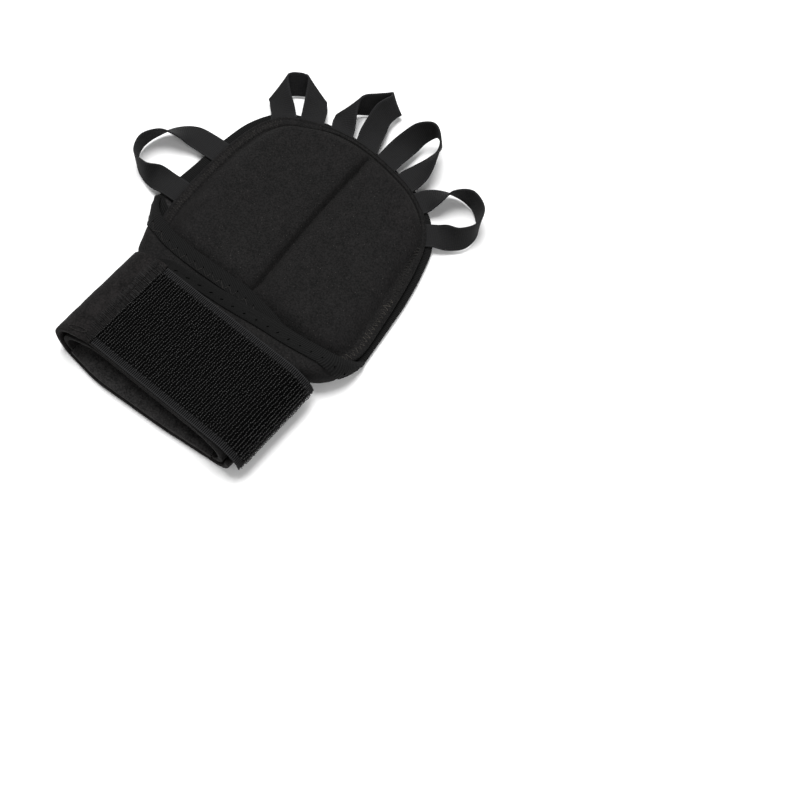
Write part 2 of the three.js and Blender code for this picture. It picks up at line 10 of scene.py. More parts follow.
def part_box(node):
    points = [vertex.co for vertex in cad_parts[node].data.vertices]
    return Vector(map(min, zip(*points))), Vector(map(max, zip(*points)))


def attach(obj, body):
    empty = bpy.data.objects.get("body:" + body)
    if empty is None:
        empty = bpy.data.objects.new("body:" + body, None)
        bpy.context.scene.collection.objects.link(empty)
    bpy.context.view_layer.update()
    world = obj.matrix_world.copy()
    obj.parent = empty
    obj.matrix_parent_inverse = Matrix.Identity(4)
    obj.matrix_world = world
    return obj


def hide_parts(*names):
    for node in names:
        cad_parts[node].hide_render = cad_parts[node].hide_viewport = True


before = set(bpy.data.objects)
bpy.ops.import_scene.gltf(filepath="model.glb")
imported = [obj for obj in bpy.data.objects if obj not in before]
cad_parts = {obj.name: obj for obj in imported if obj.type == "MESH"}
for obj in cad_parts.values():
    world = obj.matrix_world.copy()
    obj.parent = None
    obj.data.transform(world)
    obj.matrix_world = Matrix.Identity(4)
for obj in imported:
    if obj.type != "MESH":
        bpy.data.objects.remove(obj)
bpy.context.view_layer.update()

# Place in the row's frame. The tables below are the glove's own plan in millimetres, x = 0 and y = 0 on
# its middle line at the wrist. The hook tape's corner at the join tells where that lies.
Row = namedtuple("Row", "x y")
HOOK_TAPE_LEFT = -30.7
HOOK_TAPE_NEAR = -75
plan_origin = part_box("hook_tape")[0] * 1000 - Vector((HOOK_TAPE_LEFT, HOOK_TAPE_NEAR, 0))
plan_origin.z = 0


def in_row(point):
    """A point of the glove's plan, in millimetres, as metres in the row's frame"""
    return (Vector(point) + plan_origin) / 1000


# Floor: a seamless sheet of white paper, matt and plain, laid under the glove. It's far wider than the
# view, so it shows no edge.
def linear(hex_colour):
    """An sRGB hex colour as linear red, green, blue and alpha"""
    channels = [int(hex_colour[i:i + 2], 16) / 255 for i in (1, 3, 5)]
    return (*[c / 12.92 if c <= 0.04045 else ((c + 0.055) / 1.055) ** 2.4 for c in channels], 1)


def add_node(tree, kind, inputs=None, **settings):
    """Adds a node with its settings, and gives its inputs values or links"""
    node = tree.nodes.new(kind)
    for name, value in settings.items():
        setattr(node, name, value)
    for name, value in (inputs or {}).items():
        if isinstance(value, bpy.types.NodeSocket):
            tree.links.new(value, node.inputs[name])
        else:
            node.inputs[name].default_value = value
    return node


bpy.ops.mesh.primitive_plane_add(size=6, location=(0, 0, -0.0004))
floor = bpy.context.object
floor.name = "paper_floor"
paper = bpy.data.materials.new("white_seamless_paper")
paper.use_nodes = True
paper_shader = paper.node_tree.nodes["Principled BSDF"]
paper_shader.inputs["Base Color"].default_value = linear("#f4f4f4")
paper_shader.inputs["Roughness"].default_value = 0.9
floor.data.materials.append(paper)

# Light: a wide softbox overhead, towards the fingertips, a weaker one from the near right, and pale
# walls all round. Colours are shown as they are, without a film look.
SOFTBOXES = {
    "softbox_top": {"size": 1.1, "watts": 35, "at": (-380, 430, 1450)},
    "softbox_side": {"size": 0.8, "watts": 6, "at": (1000, -300, 900)},
}
WALLS = 0.34
for name, box in SOFTBOXES.items():
    bpy.ops.object.light_add(type="AREA", location=in_row(box["at"]))
    light = bpy.context.object
    light.name = name
    light.data.shape = "DISK"
    light.data.size = box["size"]
    light.data.energy = box["watts"]
    light.rotation_euler = (in_row((0, 0, 0)) - light.location).to_track_quat("-Z", "Y").to_euler()
world = bpy.data.worlds.new("pale_walls")
world.use_nodes = True
world.node_tree.nodes["Background"].inputs["Color"].default_value = linear("#ffffff")
world.node_tree.nodes["Background"].inputs["Strength"].default_value = WALLS
bpy.context.scene.world = world
bpy.context.scene.view_settings.view_transform = "Standard"

# Camera: at the photo's angle, 66 degrees above the floor and 40 degrees round to the little-finger
# side, 0.69 m from the middle of the picture, which is the floor to the right of the glove
LOOK_AT = (91, 0, 0)
CAMERA = {"azimuth": 40, "elevation": 66, "distance": 690, "view": 30}
turn, tilt = math.radians(CAMERA["azimuth"]), math.radians(CAMERA["elevation"])
away = Vector((math.sin(turn) * math.cos(tilt), -math.cos(turn) * math.cos(tilt), math.sin(tilt)))
bpy.ops.object.camera_add(location=in_row(Vector(LOOK_AT) + away * CAMERA["distance"]))
camera = bpy.context.object
camera.rotation_euler = away.to_track_quat("Z", "Y").to_euler()
camera.data.angle = math.radians(CAMERA["view"])
bpy.context.scene.camera = camera

# Back panel: the sheet of neoprene that the glove is built on, a rounded D for the back of the hand
# with a tongue that runs under the wrist. Black foam rubber with a knitted jersey face on both sides,
# cut flat, its rim squeezed thin inside the folded tape.
NEOPRENE = 2.7
NEOPRENE_STITCHED = 1.5
ROUNDING = 0.3
GAP = 0.3
FOLD_GAP = 0.5
TAPE = 0.6
TAPE_WIDTH = 8.3
PANEL_LEVEL = NEOPRENE / 2
WRIST_PANEL_LEVEL = NEOPRENE + GAP + NEOPRENE / 2
RIM_LEVEL = TAPE + GAP + NEOPRENE_STITCHED / 2
WRIST_HOLLOW = 5.4
THUMB_WING_LEVEL = WRIST_PANEL_LEVEL + NEOPRENE + WRIST_HOLLOW
LITTLE_WING_LEVEL = THUMB_WING_LEVEL + NEOPRENE + GAP
STRAP_UNDERSIDE = LITTLE_WING_LEVEL + NEOPRENE / 2 + GAP
RIM = [
    Row(-69.2, 9), Row(-67.8, 30), Row(-66.4, 51), Row(-63.3, 68), Row(-54.8, 81.5), Row(-34.4, 91.1),
    Row(-16.6, 94), Row(-2.6, 94), Row(10.7, 92.4), Row(25, 89.4), Row(40.4, 82), Row(51.1, 70.7),
    Row(56.8, 55.8), Row(60.8, 39.6), Row(63.4, 22.9), Row(66, 4),
]
RIM_CORNERS = (4, 10)
RIM_SQUEEZE = 5
LUMPS = {"height": 0.6, "size": 6, "reach": 3}
Wing = namedtuple("Wing", "side sections edge near")
Section = namedtuple("Section", "y fold base top")
Bound = namedtuple("Bound", "along y")
THUMB_WING = Wing(-1, [
    Section(-80, 46.2, WRIST_PANEL_LEVEL, THUMB_WING_LEVEL),
    Section(-26.8, 47.4, WRIST_PANEL_LEVEL, THUMB_WING_LEVEL),
    Section(-23.4, 52.4, WRIST_PANEL_LEVEL, THUMB_WING_LEVEL),
    Section(-20, 54.5, 2.85, 12),
    Section(-15, 56.8, PANEL_LEVEL, 11.8),
    Section(-10, 59.2, PANEL_LEVEL, 11.8),
    Section(-5, 62.4, PANEL_LEVEL, 11),
    Section(0, 66.5, PANEL_LEVEL, 8.2),
    Section(4, 69.2, 1.5, 5.2),
    Section(7, 70.4, RIM_LEVEL, 4.4),
    Section(9.5, 71.4, RIM_LEVEL, 4),
], [
    Bound(-0.5, 8.95), Bound(0.2, 8), Bound(0.9, 7), Bound(2, 5.9), Bound(3.8, 4.6), Bound(8, 0.6),
    Bound(12, -2.6), Bound(16, -4.8), Bound(22, -6.8), Bound(30, -7.8), Bound(43, -7.9),
    Bound(56, -7.4), Bound(74, -7), Bound(88, -8.8), Bound(97.5, -11),
], [Bound(0, -80.3), Bound(8, -79.4), Bound(17, -76.6), Bound(25, -75.2)])
LITTLE_WING = Wing(1, [
    Section(-80, 52, WRIST_PANEL_LEVEL, LITTLE_WING_LEVEL),
    Section(-23.4, 52, WRIST_PANEL_LEVEL, LITTLE_WING_LEVEL),
    Section(-20, 58.6, 2.85, LITTLE_WING_LEVEL),
    Section(-15, 62.6, PANEL_LEVEL, LITTLE_WING_LEVEL),
    Section(-10.5, 65.2, PANEL_LEVEL, 14.8),
    Section(-6, 66.7, PANEL_LEVEL, 11.8),
    Section(-3, 67.2, PANEL_LEVEL, 8.4),
    Section(0, 67.2, 1.5, 5.6),
    Section(2, 67.4, RIM_LEVEL, 4.4),
    Section(4.4, 67.9, RIM_LEVEL, 4),
], [
    Bound(-0.3, 3.95), Bound(0.3, 3), Bound(1, 2), Bound(2.2, 0.9), Bound(5, -1), Bound(10, -4),
    Bound(16, -6.8), Bound(27, -9.3), Bound(39, -11.4), Bound(50, -12.6), Bound(62, -14.8),
    Bound(75, -16.2), Bound(88, -17.9), Bound(103, -19.8),
], [Bound(0, -77.7), Bound(10, -77.2), Bound(20, -76.2), Bound(32, -75.2)])
TONGUE_LEFT = (-80.6, -66, -52, -26.8, -23.4, -20, -15, -10, -4, 2)
TONGUE_RIGHT = (-77.8, -65, -52, -23.4, -20, -18, -15, -10.5, -6, 0)
TONGUE_NEAR = [Row(-45, -80.6), Row(-23, -83.2), Row(17, -80.7), Row(45, -77.8)]


def clamp(value, low=0.0, high=1.0):
    """The value kept between two limits"""
    return min(max(value, low), high)


def ease(value):
    """From 0 to 1 with a soft start and end"""
    share = clamp(value)
    return share * share * (3 - 2 * share)


def steps(first, last, count):
    """Evenly spaced values from first to last"""
    return [first + (last - first) * i / count for i in range(count + 1)]


def spread(first, *parts):
    """Values from first on, in parts that each have their end and their number of even steps"""
    values = []
    for last, count in parts:
        values += steps(first, last, count)[:-1]
        first = last
    return [*values, first]


def read(rows, key, at, column):
    """A value from a table's column, straight between its rows"""
    for low, high in zip(rows, rows[1:]):
        if at <= getattr(high, key):
            part = clamp((at - getattr(low, key)) / (getattr(high, key) - getattr(low, key)))
            return getattr(low, column) + (getattr(high, column) - getattr(low, column)) * part
    return getattr(rows[-1], column)


def read_soft(rows, key, at, column, reach=1.6):
    """The same value evened out over a short stretch, so that the cloth shows no kinks"""
    near = [read(rows, key, at + reach * offset, column) for offset in (-1, -0.5, 0, 0.5, 1)]
    return sum(near) / len(near)


def smooth_path(points):
    """A curve through the points, at 0 to 1, that turns evenly from one to the next"""
    knots = [Vector(point) for point in points]
    padded = [knots[0] * 2 - knots[1], *knots, knots[-1] * 2 - knots[-2]]

    def at(t):
        place = clamp(t) * (len(knots) - 1)
        i = min(int(place), len(knots) - 2)
        w = place - i
        before, start, end, after = padded[i:i + 4]
        sides = (start - before, end - start, after - end)
        span = [max(side.length, 1e-4) ** 0.5 for side in sides]
        leave = sides[0] / span[0] - (end - before) / (span[0] + span[1]) + sides[1] / span[1]
        arrive = sides[1] / span[1] - (after - start) / (span[1] + span[2]) + sides[2] / span[2]
        leave, arrive = leave * span[1], arrive * span[1]
        bend = 3 * (end - start) - 2 * leave - arrive
        return start + leave * w + bend * w ** 2 + (2 * (start - end) + leave + arrive) * w ** 3

    return at


def direction(path, t, reach=1e-4):
    """The unit direction in which a path runs at t"""
    return (path(clamp(t + reach)) - path(clamp(t - reach))).normalized()


def outline(rows):
    """A flat outline through a table of x and y, at 0 to 1, and points inset from it"""
    path = smooth_path([(row.x, row.y, 0) for row in rows])

    def at(t, inset=0.0):
        run = direction(path, t)
        return path(t) + Vector((run.y, -run.x, 0)) * inset

    return at


def d_field(edge, corners, count, inset):
    """A D-shaped field: u across it from 0 to 1, v from its straight lower edge to its arc"""
    first, second = corners[0] / (count - 1), corners[1] / (count - 1)

    def at(u, v):
        left, right = edge(first * v, inset), edge(1 - (1 - second) * v, inset)
        foot = edge(0, inset).lerp(edge(1, inset), u)
        top = edge(first + (second - first) * u, inset)
        chord = edge(first, inset).lerp(edge(second, inset), u)
        return left.lerp(right, u) + foot.lerp(top, v) - foot.lerp(chord, v)

    return at


def bordered_field(edge, corners, count, inset, border, foot):
    """The same field with a border: u and v beyond 0 to 1 run over it to the outline, a whole unit away.
    foot is the share of the length that the border takes at the lower edge."""
    outer = d_field(edge, corners, count, inset)
    inner = d_field(edge, corners, count, inset + border)

    def at(u, v):
        raised = foot + (1 - foot) * clamp(v)
        out = max(-u, u - 1, -v, v - 1, 0)
        return inner(clamp(u), raised).lerp(outer(clamp(u), 0 if v < 0 else raised), out)

    return at


def wing_surface(wing):
    """A wing's middle surface: along the sheet from the panel, and y along the glove"""
    def at(along, y):
        base = read_soft(wing.sections, "y", y, "base")
        top = read_soft(wing.sections, "y", y, "top")
        radius = (top - base) / 2
        start = read_soft(wing.sections, "y", y, "fold") - NEOPRENE / 2 - radius
        bend = clamp(along / radius, 0, math.pi)
        run = max(along - math.pi * radius, -along, 0)
        return Vector((
            wing.side * (start + radius * math.sin(bend) - run), y, base + radius * (1 - math.cos(bend)),
        ))

    return at


def mesh_piece(name, points, faces):
    """A piece with a mesh of its own, selected by itself"""
    mesh = bpy.data.meshes.new(name)
    mesh.from_pydata(points, [], faces)
    piece = bpy.data.objects.new(name, mesh)
    bpy.context.collection.objects.link(piece)
    bpy.ops.object.select_all(action="DESELECT")
    piece.select_set(True)
    bpy.context.view_layer.objects.active = piece
    return piece


def cloth(name, across, along, middle, thickness, share=None):
    """A sheet of cloth. middle(a, b) is its middle surface in the plan, and share(a, b) the part of its
    thickness that it keeps there. Its UV map holds the sheet's own width and length in millimetres."""
    grid = [[in_row(middle(a, b)) for b in along] for a in across]
    wide, long = len(across), len(along)
    quads = [
        (i * long + j, (i + 1) * long + j, (i + 1) * long + j + 1, i * long + j + 1)
        for i in range(wide - 1) for j in range(long - 1)
    ]
    piece = mesh_piece(name, [point for row in grid for point in row], quads)
    widths, lengths = [0.0], [0.0]
    for i in range(1, wide):
        widths.append(widths[-1] + (grid[i][long // 2] - grid[i - 1][long // 2]).length * 1000)
    for j in range(1, long):
        lengths.append(lengths[-1] + (grid[wide // 2][j] - grid[wide // 2][j - 1]).length * 1000)
    cut = piece.data.uv_layers.new(name="cut")
    for loop in piece.data.loops:
        i, j = divmod(loop.vertex_index, long)
        cut.data[loop.index].uv = (widths[i], lengths[j])
    wall = piece.modifiers.new("wall", "SOLIDIFY")
    wall.thickness = thickness / 1000
    wall.offset = 0
    if share:
        kept = piece.vertex_groups.new(name="kept")
        for i, a in enumerate(across):
            for j, b in enumerate(along):
                kept.add([i * long + j], share(a, b), "REPLACE")
        wall.vertex_group = "kept"
    bpy.ops.object.modifier_apply(modifier="wall")
    rounded = piece.modifiers.new("rounded_edge", "BEVEL")
    rounded.width = ROUNDING * thickness / 1000
    rounded.segments = 2
    rounded.limit_method = "ANGLE"
    rounded.angle_limit = math.radians(50)
    bpy.ops.object.modifier_apply(modifier="rounded_edge")
    bpy.ops.object.shade_smooth()
    piece.vertex_groups.clear()
    return piece


def finish_cloth(piece, material, replaces=()):
    """Gives a piece its material and its place in the frame"""
    piece.data.materials.append(material)
    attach(piece, "root")
    for node in replaces:
        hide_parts(node)


def node_material(name):
    """A new node material and its tree"""
    material = bpy.data.materials.new(name)
    material.use_nodes = True
    return material, material.node_tree


def finished_material(material, colour, normal, constants):
    """The material with its pattern linked and its constants set on the shader's sockets"""
    shader = material.node_tree.nodes["Principled BSDF"]
    material.node_tree.links.new(colour, shader.inputs["Base Color"])
    if normal:
        material.node_tree.links.new(normal, shader.inputs["Normal"])
    for name, value in constants.items():
        shader.inputs[name].default_value = value
    return material


def pattern(tree, kind, size, settings):
    """A texture on the object's own coordinates, in metres, as coarse as size in millimetres"""
    place = add_node(tree, "ShaderNodeTexCoord")
    return add_node(tree, kind, {"Vector": place.outputs["Object"], "Scale": 1000 / size, **settings})


def grain(tree, size, detail, roughness=0.5):
    """A noise as coarse as size in millimetres"""
    settings = {"Detail": detail, "Roughness": roughness}
    return pattern(tree, "ShaderNodeTexNoise", size, settings).outputs["Fac"]


def calculated(tree, operation, *values):
    """The result of a sum on sockets or numbers"""
    return add_node(tree, "ShaderNodeMath", dict(enumerate(values)), operation=operation).outputs[0]


def ranged(tree, value, start, end, low=0, high=1):
    """A value mapped from one range to another, and held at its ends"""
    return add_node(tree, "ShaderNodeMapRange", {
        "Value": value, "From Min": start, "From Max": end, "To Min": low, "To Max": high,
    }).outputs["Result"]


def blended(tree, share, first, second):
    """A colour between two, as far as share says"""
    return add_node(tree, "ShaderNodeMix", {0: share, 6: first, 7: second}, data_type="RGBA").outputs[2]


def bumped(tree, height, strength, distance=0.0003):
    """The normal of a surface that rises and falls with a pattern"""
    return add_node(tree, "ShaderNodeBump", {
        "Height": height, "Strength": strength, "Distance": distance,
    }).outputs["Normal"]


def neoprene_face(name, shade, bloom, blotch):
    """Polyester jersey on neoprene foam: matt black with a dusty bloom of loose fibre ends, faint
    mottling a few millimetres across, and a knit so fine that only its grain shows"""
    material, tree = node_material(name)
    mottle = calculated(tree, "MULTIPLY", grain(tree, 6, 3, 0.6), blotch)
    knit = grain(tree, 0.75, 3, 0.8)
    tone = ranged(tree, calculated(tree, "ADD", mottle, knit), 0.37 + blotch / 2, 0.63 + blotch / 2)
    fibres = pattern(tree, "ShaderNodeTexVoronoi", 2.2, {"Randomness": 1}).outputs["Distance"]
    cloth_colour = blended(tree, tone, linear(shade), linear(bloom))
    colour = blended(tree, ranged(tree, fibres, 0.04, 0.1, 0.2, 0), cloth_colour, linear("#7a7572"))
    return finished_material(material, colour, bumped(tree, knit, 0.4), {
        "Roughness": 0.92, "Specular IOR Level": 0.12, "Sheen Weight": 0.03, "Sheen Roughness": 0.5,
        "Sheen Tint": linear("#b0aca9"),
    })


neoprene = neoprene_face("jersey_faced_neoprene", "#080808", "#1b1a1a", 0.22)
# A lighter copy of the jersey neoprene for the back panel, seen inside the wrist's mouth: partly a
# brushed face, partly painted sheen
brushed_neoprene_painted_sheen = neoprene_face("brushed_neoprene_with_painted_sheen", "#101010", "#2c2b2b", 0.35)
fuzzy = neoprene_face("worn_fuzzy_neoprene", "#070707", "#1d1b1b", 0.5)
rim_edge = outline(RIM)
panel_border = TAPE_WIDTH + GAP
panel_field = bordered_field(rim_edge, RIM_CORNERS, len(RIM), TAPE + GAP, panel_border, 0)


def tongue_end(ends, v):
    """The y at which a tongue's row ends, v from minus the number of rows up to 0"""
    place = clamp(v + len(ends), 0, len(ends) - 1)
    low = min(int(place), len(ends) - 2)
    return ends[low] + (ends[low + 1] - ends[low]) * (place - low)


def squeezed(u, v):
    """From 0 inside the panel to 1 under its tape, where the stitching presses it thin"""
    return ease(max(-u, u - 1, v - 1) * RIM_SQUEEZE + 1)


def panel_middle(u, v):
    """The panel's middle surface. It's flat above v = 0. Below it, the tongue runs between the wings'
    folds, rises into the wrist with them, and is lumpy in the wrist's open end."""
    if v >= 0:
        level = PANEL_LEVEL + (RIM_LEVEL - PANEL_LEVEL) * squeezed(u, v)
        return panel_field(u, v) + Vector((0, 0, level))
    left_y, right_y = tongue_end(TONGUE_LEFT, v), tongue_end(TONGUE_RIGHT, v)
    left = Vector((FOLD_GAP - abs(wing_surface(THUMB_WING)(0, left_y).x), left_y, 0))
    right = Vector((abs(wing_surface(LITTLE_WING)(0, right_y).x) - FOLD_GAP, right_y, 0))
    share = panel_border / (right - left).length
    across = share + (1 - 2 * share) * clamp(u) + share * (min(u, 0) + max(u - 1, 0))
    point = left.lerp(right, across)
    from_mouth = v + len(TONGUE_LEFT)
    point.y += (read_soft(TONGUE_NEAR, "x", point.x, "y", 6) - point.y) * (1 - ease(from_mouth))
    rise = noise.noise(Vector((point.x, point.y, 0)) / LUMPS["size"])
    point.z = read_soft(THUMB_WING.sections[:7], "y", point.y, "base")
    point.z += LUMPS["height"] * max(rise, 0) * (1 - ease(from_mouth / LUMPS["reach"]))
    return point


def panel_share(u, v):
    return 1 + (NEOPRENE_STITCHED / NEOPRENE - 1) * (squeezed(u, v) if v >= 0 else 0)


panel_across = spread(-1, (0, 3), (1, 34), (2, 3))
panel_along = spread(-len(TONGUE_LEFT), (0, 36), (1, 26), (2, 3))
back_panel = cloth("panel_cloth", panel_across, panel_along, panel_middle, NEOPRENE, panel_share)
finish_cloth(back_panel, brushed_neoprene_painted_sheen, ["back_panel"])

# Rim binding: a knitted polyester tape, folded over the panel's rim and stitched through. Its fine
# cross ribs show as a grain, its top leg as a low band round the panel.
Fold = namedtuple("Fold", "back beyond height")


def ribs(tree, pitch, along, distortion, detail_scale):
    """Ribs a pitch apart in millimetres, on the UV map that holds a sheet's own width and length"""
    cut = add_node(tree, "ShaderNodeUVMap", uv_map="cut")
    return add_node(tree, "ShaderNodeTexWave", {
        "Vector": cut.outputs["UV"], "Scale": 0.314 / pitch, "Distortion": distortion, "Detail": 1,
        "Detail Scale": detail_scale,
    }, bands_direction=along).outputs["Fac"]


def ribbed_tape_face():
    """Grosgrain-like folded tape: matt black with a random grain, ribs across its width about a
    millimetre apart. Their crests are painted lighter and their hollows darker: painted highlight and
    shade"""
    material, tree = node_material("ribbed_binding_tape")
    height = calculated(tree, "ADD", ribs(tree, 0.9, "Y", 0.6, 3), grain(tree, 0.7, 3, 0.7))
    # Painted highlight and shade: the colour follows the rib height, lighter on the crests, darker in
    # the hollows
    colour = blended(tree, ranged(tree, height, 0.4, 1.6), linear("#050505"), linear("#171717"))
    return finished_material(material, colour, bumped(tree, height, 0.8), {
        "Roughness": 0.85, "Specular IOR Level": 0.1, "Sheen Weight": 0.02,
        "Sheen Tint": linear("#b4b4b4"),
    })


def tape_fold(part, reach):
    """The tape's path across its width: a leg, the turn round the edge and a leg"""
    height = NEOPRENE_STITCHED / 2 + GAP + TAPE / 2
    leg = 0.4
    if part < leg:
        return Fold(reach * (1 - part / leg), 0, height)
    if part > 1 - leg:
        return Fold(reach * (1 - (1 - part) / leg), 0, -height)
    bend = (part - leg) / (1 - 2 * leg) * math.pi
    return Fold(0, height * math.sin(bend), height * math.cos(bend))


def rim_tape_middle(part, share):
    fold = tape_fold(part, TAPE_WIDTH - 1)
    point = rim_edge(share, TAPE + GAP + fold.back - fold.beyond)
    return point + Vector((0, 0, RIM_LEVEL + fold.height))


def path_length(path, samples=200):
    """The length of a path, in metres"""
    stations = [path(i / samples) for i in range(samples + 1)]
    return sum((b - a).length for a, b in zip(stations, stations[1:])) / 1000


tape_across = spread(0, (0.4, 5), (0.6, 10), (1, 5))
binding = ribbed_tape_face()
rim_tape = cloth("rim_tape", tape_across, steps(0, 1, 180), rim_tape_middle, TAPE)
finish_cloth(rim_tape, binding, ["rim_binding"])
path_length(rim_edge)

# Weight pad: a neoprene pouch of iron grit in two cells, with a sewn channel between them and a flat
# flange round it that is overlocked to the panel with pale zigzag thread. The cells are swollen by a
# cloth simulation from a flatter form, held by their seams, and the channel is pressed in after it.
PAD_EDGE = [
    Row(-51.4, -17.5), Row(-59, 2), Row(-61.5, 30), Row(-61.3, 52), Row(-57.8, 70), Row(-50, 81),
    Row(-34, 88.5), Row(-16.6, 92.2), Row(-2.6, 92.4), Row(10.7, 90.8), Row(25, 87.6), Row(39.4, 80),
    Row(49, 69), Row(54.6, 55.2), Row(58.6, 39.2), Row(61.8, 22.5), Row(64, 1), Row(55.8, -17.5),
]
PAD_CORNERS = (5, 11)
FLANGE = {
    "bottom": 4.6, "width": 6, "arc_width": 2.6, "foot": 0.055,
    "turns_at": (0.08, 0.55), "over": (0.2, 0.25),
}
PAD_BOTTOM = RIM_LEVEL + NEOPRENE_STITCHED / 2 + TAPE + 2 * GAP
CELLS = {"crown": 6.2, "shoulder": 12, "wrist_shoulder": 10, "roundness": 2.4}
CHANNEL = {"crease": 3.5, "crease_width": 1.4, "slope": 2.2, "slope_width": 6}
SWELL = {"pressure": 4, "frames": 20, "most": 0.0022}
# The flange's top by the distance from its outer edge: the rolled edge, a groove, the band that the
# thread covers, and the crease where the cells begin
Relief = namedtuple("Relief", "inset level")
FLANGE_RELIEF = [
    Relief(0, 5.7), Relief(0.5, 6.3), Relief(1.1, 6.35), Relief(1.7, 5.5), Relief(2.3, 5.75),
    Relief(3.6, 5.95), Relief(5, 5.75), Relief(5.5, 4.85), Relief(6, 4.75),
]
pad_edge = outline(PAD_EDGE)
pad_wide = bordered_field(pad_edge, PAD_CORNERS, len(PAD_EDGE), 0, FLANGE["width"], FLANGE["foot"])
pad_narrow = bordered_field(pad_edge, PAD_CORNERS, len(PAD_EDGE), 0, FLANGE["arc_width"], FLANGE["foot"])


def narrowed(u, v):
    """How far the flange is turned under, from 0 down the thumb side to 1 over the fingers"""
    first_u, first_v = FLANGE["turns_at"]
    over_u, over_v = FLANGE["over"]
    return ease((v - first_v) / over_v) * ease((u - first_u) / over_u)


def pad_field(u, v):
    return pad_wide(u, v).lerp(pad_narrow(u, v), narrowed(u, v))


def cell_fullness(u, v):
    """From 0 at the flange to 1 where a cell is full"""
    width = (pad_wide(1, clamp(v)) - pad_wide(0, clamp(v))).length
    length = (pad_wide(clamp(u), 1) - pad_wide(clamp(u), 0)).length
    across, down = min(u, 1 - u) * width / CELLS["shoulder"], (1 - v) * length / CELLS["shoulder"]
    up = v * length / CELLS["wrist_shoulder"]
    return math.prod(1 - (1 - clamp(gone)) ** CELLS["roundness"] for gone in (across, down, up))


def flange_level(u, v):
    inset = FLANGE["width"] * (1 - max(-u, u - 1, -v, v - 1, 0))
    return read(FLANGE_RELIEF, "inset", inset, "level")


def flat_weight_pad():
    """The pad as a closed form with its top, underside and the edge between them, the corners that seams
    hold down, and how far each corner lies from the channel"""
    half_across = [*spread(-1, (0, 9), (0.42, 18)), 0.44, 0.455, 0.467, 0.477, 0.485, 0.492]
    across = [*half_across, 0.5, *[1 - u for u in reversed(half_across)]]
    along = spread(-1, (0, 4), (1, 46), (2, 9))
    wide, long = len(across), len(along)
    points, held, sunk = [], [], []
    for level in (1, 0):
        for u in across:
            for v in along:
                point = pad_field(u, v)
                on_flange = u <= 0 or u >= 1 or v <= 0 or v >= 1
                if on_flange:
                    point.z = flange_level(u, v) if level else FLANGE["bottom"]
                    sunk.append(0)
                else:
                    full = cell_fullness(u, v)
                    off_seam = abs(u - 0.5) * (pad_wide(1, v) - pad_wide(0, v)).length
                    crease = CHANNEL["crease"] * math.exp(-(off_seam / CHANNEL["crease_width"]) ** 2)
                    slope = CHANNEL["slope"] * math.exp(-(off_seam / CHANNEL["slope_width"]) ** 2)
                    point.z = FLANGE_RELIEF[-1].level + CELLS["crown"] * full if level else PAD_BOTTOM
                    sunk.append(level * full * (crease + slope))
                if on_flange or not level:
                    held.append(len(points))
                points.append(in_row(point))
    half = wide * long
    quads = []
    for i in range(wide - 1):
        for j in range(long - 1):
            corners = (i * long + j, (i + 1) * long + j, (i + 1) * long + j + 1, i * long + j + 1)
            quads.append(corners)
            quads.append(tuple(half + corner for corner in reversed(corners)))
    rim = [i * long for i in range(wide)]
    rim += [(wide - 1) * long + j for j in range(1, long)]
    rim += [i * long + long - 1 for i in range(wide - 2, -1, -1)]
    rim += list(range(long - 2, 0, -1))
    for a, b in zip(rim, rim[1:] + rim[:1]):
        quads.append((a, half + a, half + b, b))
    return mesh_piece("pad_pouch", points, quads), held, sunk


weight_pad, pad_held, pad_sunk = flat_weight_pad()
start_points = [vertex.co.copy() for vertex in weight_pad.data.vertices]
seams = weight_pad.vertex_groups.new(name="seams")
seams.add(pad_held, 1.0, "REPLACE")
swelling = weight_pad.modifiers.new("swelling", "CLOTH")
swelling.settings.use_pressure = True
swelling.settings.uniform_pressure_force = SWELL["pressure"]
swelling.settings.effector_weights.gravity = 0
swelling.settings.vertex_group_mass = "seams"
swelling.point_cache.frame_start = 1
swelling.point_cache.frame_end = SWELL["frames"]
for step in range(1, SWELL["frames"] + 1):
    bpy.context.scene.frame_set(step)
bpy.ops.object.modifier_apply(modifier="swelling")
bpy.context.scene.frame_set(1)
for vertex, start in zip(weight_pad.data.vertices, start_points):
    moved = vertex.co - start
    if moved.length > SWELL["most"]:
        vertex.co = start + moved.normalized() * SWELL["most"]
weight_pad.vertex_groups.clear()
for vertex, depth in zip(weight_pad.data.vertices, pad_sunk):
    vertex.co.z -= depth / 1000
finer = weight_pad.modifiers.new("finer", "SUBSURF")
finer.levels = 1
bpy.ops.object.modifier_apply(modifier="finer")
bpy.ops.object.shade_smooth()
finish_cloth(weight_pad, neoprene, ["weight_pad"])

# Overlock: thread that zigzags over the flange. It's fine and worn to grey down the thumb side and by
# the fingers, and pale, thick with dust and coarser down the little-finger side.
def even_stations(path, pitch, samples=900):
    """Values of t along a path that lie a pitch apart, in millimetres"""
    stations, gone, last = [0.0], 0.0, path(0)
    for i in range(1, samples + 1):
        point = path(i / samples)
        gone += (point - last).length
        last = point
        if gone >= pitch:
            stations.append(i / samples)
            gone -= pitch
    return stations


def modelled_stitch():
    """One stitch, a millimetre long and wide, standing along Z: a bar of thread with rounded ends"""
    bpy.ops.mesh.primitive_cylinder_add(vertices=6, radius=0.5, depth=0.7, end_fill_type="NGON")
    bar = bpy.context.object
    bpy.ops.object.mode_set(mode="EDIT")
    bpy.ops.mesh.select_mode(type="FACE")
    for end in (1, -1):
        bpy.ops.object.mode_set(mode="OBJECT")
        for face in bar.data.polygons:
            face.select = face.normal.z * end > 0.9
        for vertex in bar.data.vertices:
            vertex.select = vertex.co.z * end > 0.3
        for line in bar.data.edges:
            line.select = all(bar.data.vertices[v].select for v in line.vertices)
        bpy.ops.object.mode_set(mode="EDIT")
        bpy.ops.mesh.extrude_region_move(TRANSFORM_OT_translate={"value": (0, 0, 0.15 * end)})
        bpy.ops.transform.resize(value=(0.45, 0.45, 1))
    bpy.ops.object.mode_set(mode="OBJECT")
    return bar


